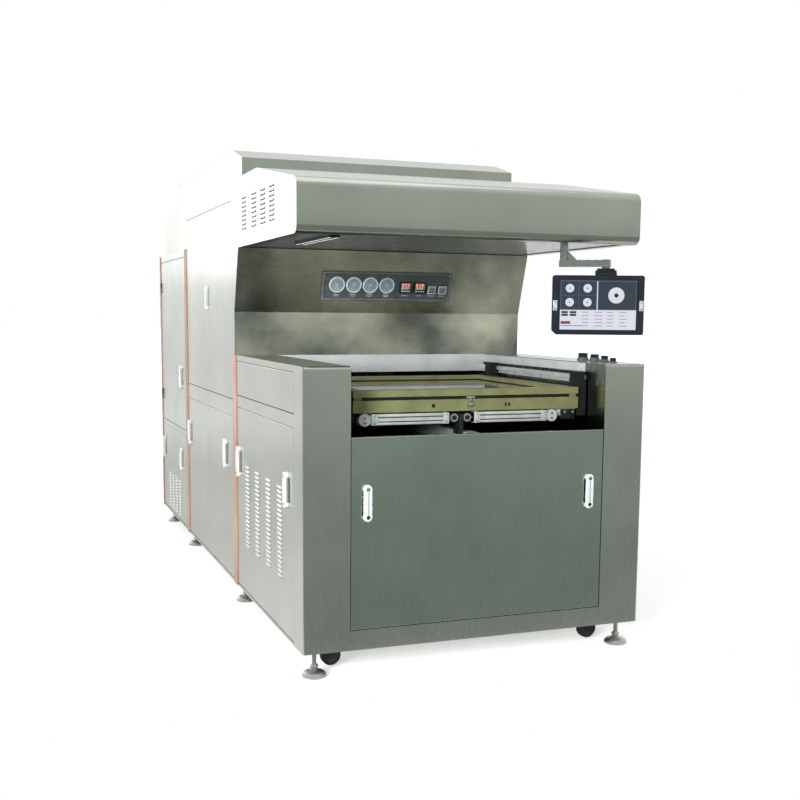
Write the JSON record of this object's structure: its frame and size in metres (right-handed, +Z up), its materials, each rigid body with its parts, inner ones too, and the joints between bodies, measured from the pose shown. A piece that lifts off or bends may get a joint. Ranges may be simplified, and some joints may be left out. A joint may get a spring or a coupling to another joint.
{
  "type": "circuit board exposure machine",
  "caption": "Stainless cabinet with a loading bay, a sliding glass exposure table with hinged frame, a hood with gauges, a swivel monitor and a lamp chamber behind",
  "frame": {"origin": "bottom centre of the bounding box, on the floor under the machine's middle", "axes": "+Z up, -Y towards the operator, +X to the operator's right"},
  "size_m": [1.378, 3.2532, 1.988],
  "materials": {
    "stainless_sheet": "brushed stainless sheet",
    "smoked_acrylic": "smoked acrylic",
    "lamp_diffuser": "opal diffuser",
    "engraved_plate": "satin grey",
    "gauge_steel": "polished bezel",
    "black_plastic": "moulded black",
    "red_plastic": "moulded red",
    "rail_steel": "ground steel",
    "black_paint": "matt black",
    "grey_paint": "grey enamel",
    "reflector_sheet": "bright rolled",
    "lamp_glass": "frosted tube",
    "orange_strip": "orange strip",
    "zinc_steel": "zinc plated",
    "anodised_aluminium": "silver anodised",
    "olive_anodised": "olive anodised",
    "table_glass": "clear float",
    "screen_glass": "display",
    "castor_rubber": "black tread"
  },
  "bodies": {
    "cabinet": {"front_base": "stainless_sheet", "left_arm_shell": "stainless_sheet", "right_arm_shell": "stainless_sheet", "bay_floor": "stainless_sheet", "upper_side_panels": "stainless_sheet", "hood_shell": "stainless_sheet", "hood_soffit": "smoked_acrylic", "work_light": "lamp_diffuser", "back_wall": "stainless_sheet", "gauge_panel": "engraved_plate", "vacuum_gauges": "gauge_steel", "panel_controllers": "black_plastic", "guide_rails": "rail_steel", "chamber_walls": "black_paint", "middle_frame": "stainless_sheet", "alignment_cameras": "black_paint", "lamp_reflectors": "reflector_sheet", "uv_lamps": "lamp_glass", "rear_frame": "stainless_sheet", "rear_roof": "stainless_sheet", "back_panels": "stainless_sheet", "riser_housing": "stainless_sheet", "roof_housing": "stainless_sheet", "joint_strips": "orange_strip", "electrical_cabinet": "grey_paint", "vacuum_pump": "grey_paint", "exhaust_blower": "grey_paint", "levelling_feet": "zinc_steel", "table_drive": "anodised_aluminium"},
    "front_cover": {"front_panel": "stainless_sheet"},
    "left_front_cover": {"left_front_panel": "stainless_sheet"},
    "left_middle_cover": {"left_middle_panel": "stainless_sheet"},
    "left_rear_cover": {"left_rear_panel": "stainless_sheet"},
    "right_front_cover": {"right_front_panel": "stainless_sheet"},
    "right_middle_cover": {"right_middle_panel": "stainless_sheet"},
    "right_rear_cover": {"right_rear_panel": "stainless_sheet"},
    "rear_door": {"left_rear_door": "stainless_sheet"},
    "left_castor": {"left_castor_fork": "zinc_steel"},
    "left_front_roller": {"left_front_wheel": "castor_rubber"},
    "left_rear_roller": {"left_rear_wheel": "castor_rubber"},
    "right_castor": {"right_castor_fork": "zinc_steel"},
    "right_front_roller": {"right_front_wheel": "castor_rubber"},
    "right_rear_roller": {"right_rear_wheel": "castor_rubber"},
    "start_button_cap": {"start_button": "black_plastic"},
    "vacuum_button_cap": {"vacuum_button": "black_plastic"},
    "reset_button_cap": {"reset_button": "black_plastic"},
    "stop_button_cap": {"stop_button": "red_plastic"},
    "monitor_swing_arm": {"monitor_arm": "anodised_aluminium"},
    "monitor_yoke_body": {"monitor_yoke": "black_paint"},
    "monitor": {"monitor_case": "black_plastic", "monitor_screen": "screen_glass"},
    "table": {"table_carriage": "black_paint", "lower_frame": "olive_anodised", "lower_glass": "table_glass", "cylinder_rods": "zinc_steel"},
    "table_lid": {"upper_frame": "olive_anodised", "upper_glass": "table_glass"},
    "left_clamp": {"left_clamp_cylinder": "anodised_aluminium"},
    "right_clamp": {"right_clamp_cylinder": "anodised_aluminium"},
    "blower_rotor": {"blower_wheel": "reflector_sheet"}
  },
  "joints": [
    {"name": "front_cover_pull", "type": "slide", "parent": "cabinet", "child": "front_cover", "axis": [0, -1, 0], "range_m": [0, 0.1]},
    {"name": "left_front_cover_pull", "type": "slide", "parent": "cabinet", "child": "left_front_cover", "axis": [-1, 0, 0], "range_m": [0, 0.1]},
    {"name": "left_middle_cover_pull", "type": "slide", "parent": "cabinet", "child": "left_middle_cover", "axis": [-1, 0, 0], "range_m": [0, 0.1]},
    {"name": "left_rear_cover_pull", "type": "slide", "parent": "cabinet", "child": "left_rear_cover", "axis": [-1, 0, 0], "range_m": [0, 0.1]},
    {"name": "right_front_cover_pull", "type": "slide", "parent": "cabinet", "child": "right_front_cover", "axis": [1, 0, 0], "range_m": [0, 0.1]},
    {"name": "right_middle_cover_pull", "type": "slide", "parent": "cabinet", "child": "right_middle_cover", "axis": [1, 0, 0], "range_m": [0, 0.1]},
    {"name": "right_rear_cover_pull", "type": "slide", "parent": "cabinet", "child": "right_rear_cover", "axis": [1, 0, 0], "range_m": [0, 0.1]},
    {"name": "rear_door_hinge", "type": "hinge", "parent": "cabinet", "child": "rear_door", "pos_m": [-0.6803, 1.571, 1.1], "axis": [0, 0, -1], "range_deg": [0, 100]},
    {"name": "left_castor_swivel", "type": "hinge", "parent": "cabinet", "child": "left_castor", "pos_m": [-0.556, -1.461, 0.098], "axis": [0, 0, 1], "continuous": true},
    {"name": "left_front_wheel_spin", "type": "hinge", "parent": "left_castor", "child": "left_front_roller", "pos_m": [-0.532, -1.461, 0.045], "axis": [0, 1, 0], "continuous": true},
    {"name": "left_rear_wheel_spin", "type": "hinge", "parent": "cabinet", "child": "left_rear_roller", "pos_m": [-0.532, 1.485, 0.045], "axis": [1, 0, 0], "continuous": true},
    {"name": "right_castor_swivel", "type": "hinge", "parent": "cabinet", "child": "right_castor", "pos_m": [0.556, -1.461, 0.098], "axis": [0, 0, 1], "continuous": true},
    {"name": "right_front_wheel_spin", "type": "hinge", "parent": "right_castor", "child": "right_front_roller", "pos_m": [0.532, -1.461, 0.045], "axis": [0, 1, 0], "continuous": true},
    {"name": "right_rear_wheel_spin", "type": "hinge", "parent": "cabinet", "child": "right_rear_roller", "pos_m": [0.532, 1.485, 0.045], "axis": [1, 0, 0], "continuous": true},
    {"name": "start_button_press", "type": "slide", "parent": "cabinet", "child": "start_button_cap", "axis": [0, 0, -1], "range_m": [0, 0.0025], "stiffness_N_per_m": 300, "springref_m": -0.002},
    {"name": "vacuum_button_press", "type": "slide", "parent": "cabinet", "child": "vacuum_button_cap", "axis": [0, 0, -1], "range_m": [0, 0.0025], "stiffness_N_per_m": 300, "springref_m": -0.002},
    {"name": "reset_button_press", "type": "slide", "parent": "cabinet", "child": "reset_button_cap", "axis": [0, 0, -1], "range_m": [0, 0.0025], "stiffness_N_per_m": 300, "springref_m": -0.002},
    {"name": "stop_button_press", "type": "slide", "parent": "cabinet", "child": "stop_button_cap", "axis": [0, 0, -1], "range_m": [0, 0.006]},
    {"name": "monitor_arm_swivel", "type": "hinge", "parent": "cabinet", "child": "monitor_swing_arm", "pos_m": [0.395, -1.455, 1.465], "axis": [0, 0, 1], "range_deg": [-30, 75]},
    {"name": "monitor_yoke_swivel", "type": "hinge", "parent": "monitor_swing_arm", "child": "monitor_yoke_body", "pos_m": [0.525, -1.545, 1.444], "axis": [0, 0, 1], "range_deg": [-40, 40]},
    {"name": "monitor_tilt", "type": "hinge", "parent": "monitor_yoke_body", "child": "monitor", "pos_m": [0.525, -1.545, 1.444], "axis": [0.9219, -0.3875, 0], "range_deg": [-8, 20]},
    {"name": "table_slide", "type": "slide", "parent": "cabinet", "child": "table", "axis": [0, 1, 0], "range_m": [0, 1.05]},
    {"name": "table_lid_hinge", "type": "hinge", "parent": "table", "child": "table_lid", "pos_m": [0, -0.606, 0.99], "axis": [1, 0, 0], "range_deg": [-33, 0]},
    {"name": "left_clamp_push", "type": "slide", "parent": "table", "child": "left_clamp", "axis": [-1, 0, 0], "range_m": [0, 0.015]},
    {"name": "right_clamp_push", "type": "slide", "parent": "table", "child": "right_clamp", "axis": [1, 0, 0], "range_m": [0, 0.015]},
    {"name": "blower_spin", "type": "hinge", "parent": "cabinet", "child": "blower_rotor", "pos_m": [0, 1.285, 1.718], "axis": [1, 0, 0], "continuous": true}
  ],
  "couplings": [
    {"joint": "right_clamp_push", "follows": "left_clamp_push", "ratio": 1}
  ]
}
